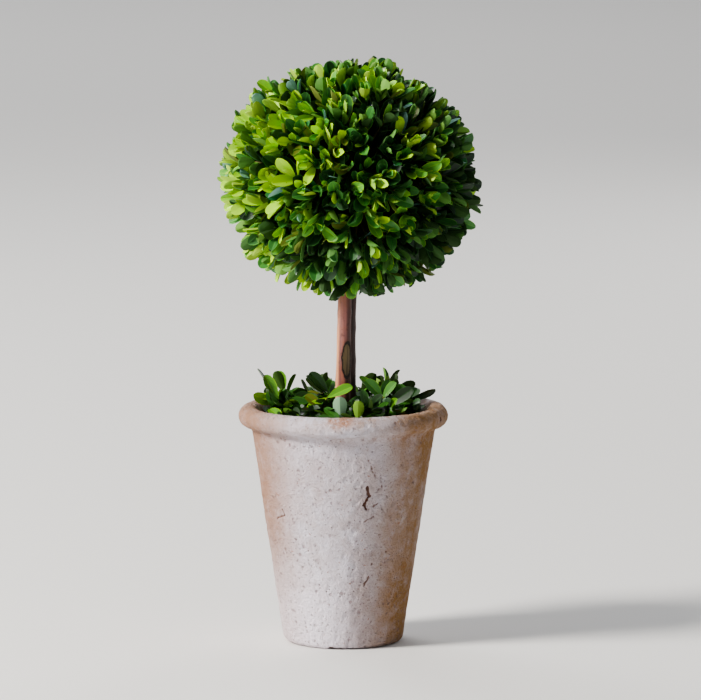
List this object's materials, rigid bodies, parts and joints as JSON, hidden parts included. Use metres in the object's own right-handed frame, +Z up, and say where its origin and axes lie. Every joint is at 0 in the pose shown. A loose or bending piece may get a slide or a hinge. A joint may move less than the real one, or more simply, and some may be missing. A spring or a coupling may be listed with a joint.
{
  "type": "box topiary ball in a pot",
  "caption": "Clipped ball of box leaves on slim bare stems, in a tapered whitewashed clay pot with a rolled rim and loose leaves over its filling.",
  "frame": {"origin": "centre of the pot's flat underside", "axes": "+Z up, +X to the right and -Y towards the viewer in the picture's front view"},
  "size_m": [0.1805, 0.1821, 0.404],
  "materials": {
    "whitewashed_clay": "fired clay under a worn, matt white wash with pits and hair cracks",
    "filling": "rough dark brown filling",
    "bark": "smooth reddish brown bark",
    "ball_leaves": "leathery green leaves with a soft shine",
    "pot_leaves": "leathery green and olive leaves over dark moss"
  },
  "bodies": {
    "root": {"pot": "whitewashed_clay", "pot_filling": "filling", "stem_front": "bark", "stem_back": "bark", "ball_foliage": "ball_leaves", "pot_sprigs": "pot_leaves"}
  },
  "joints": []
}
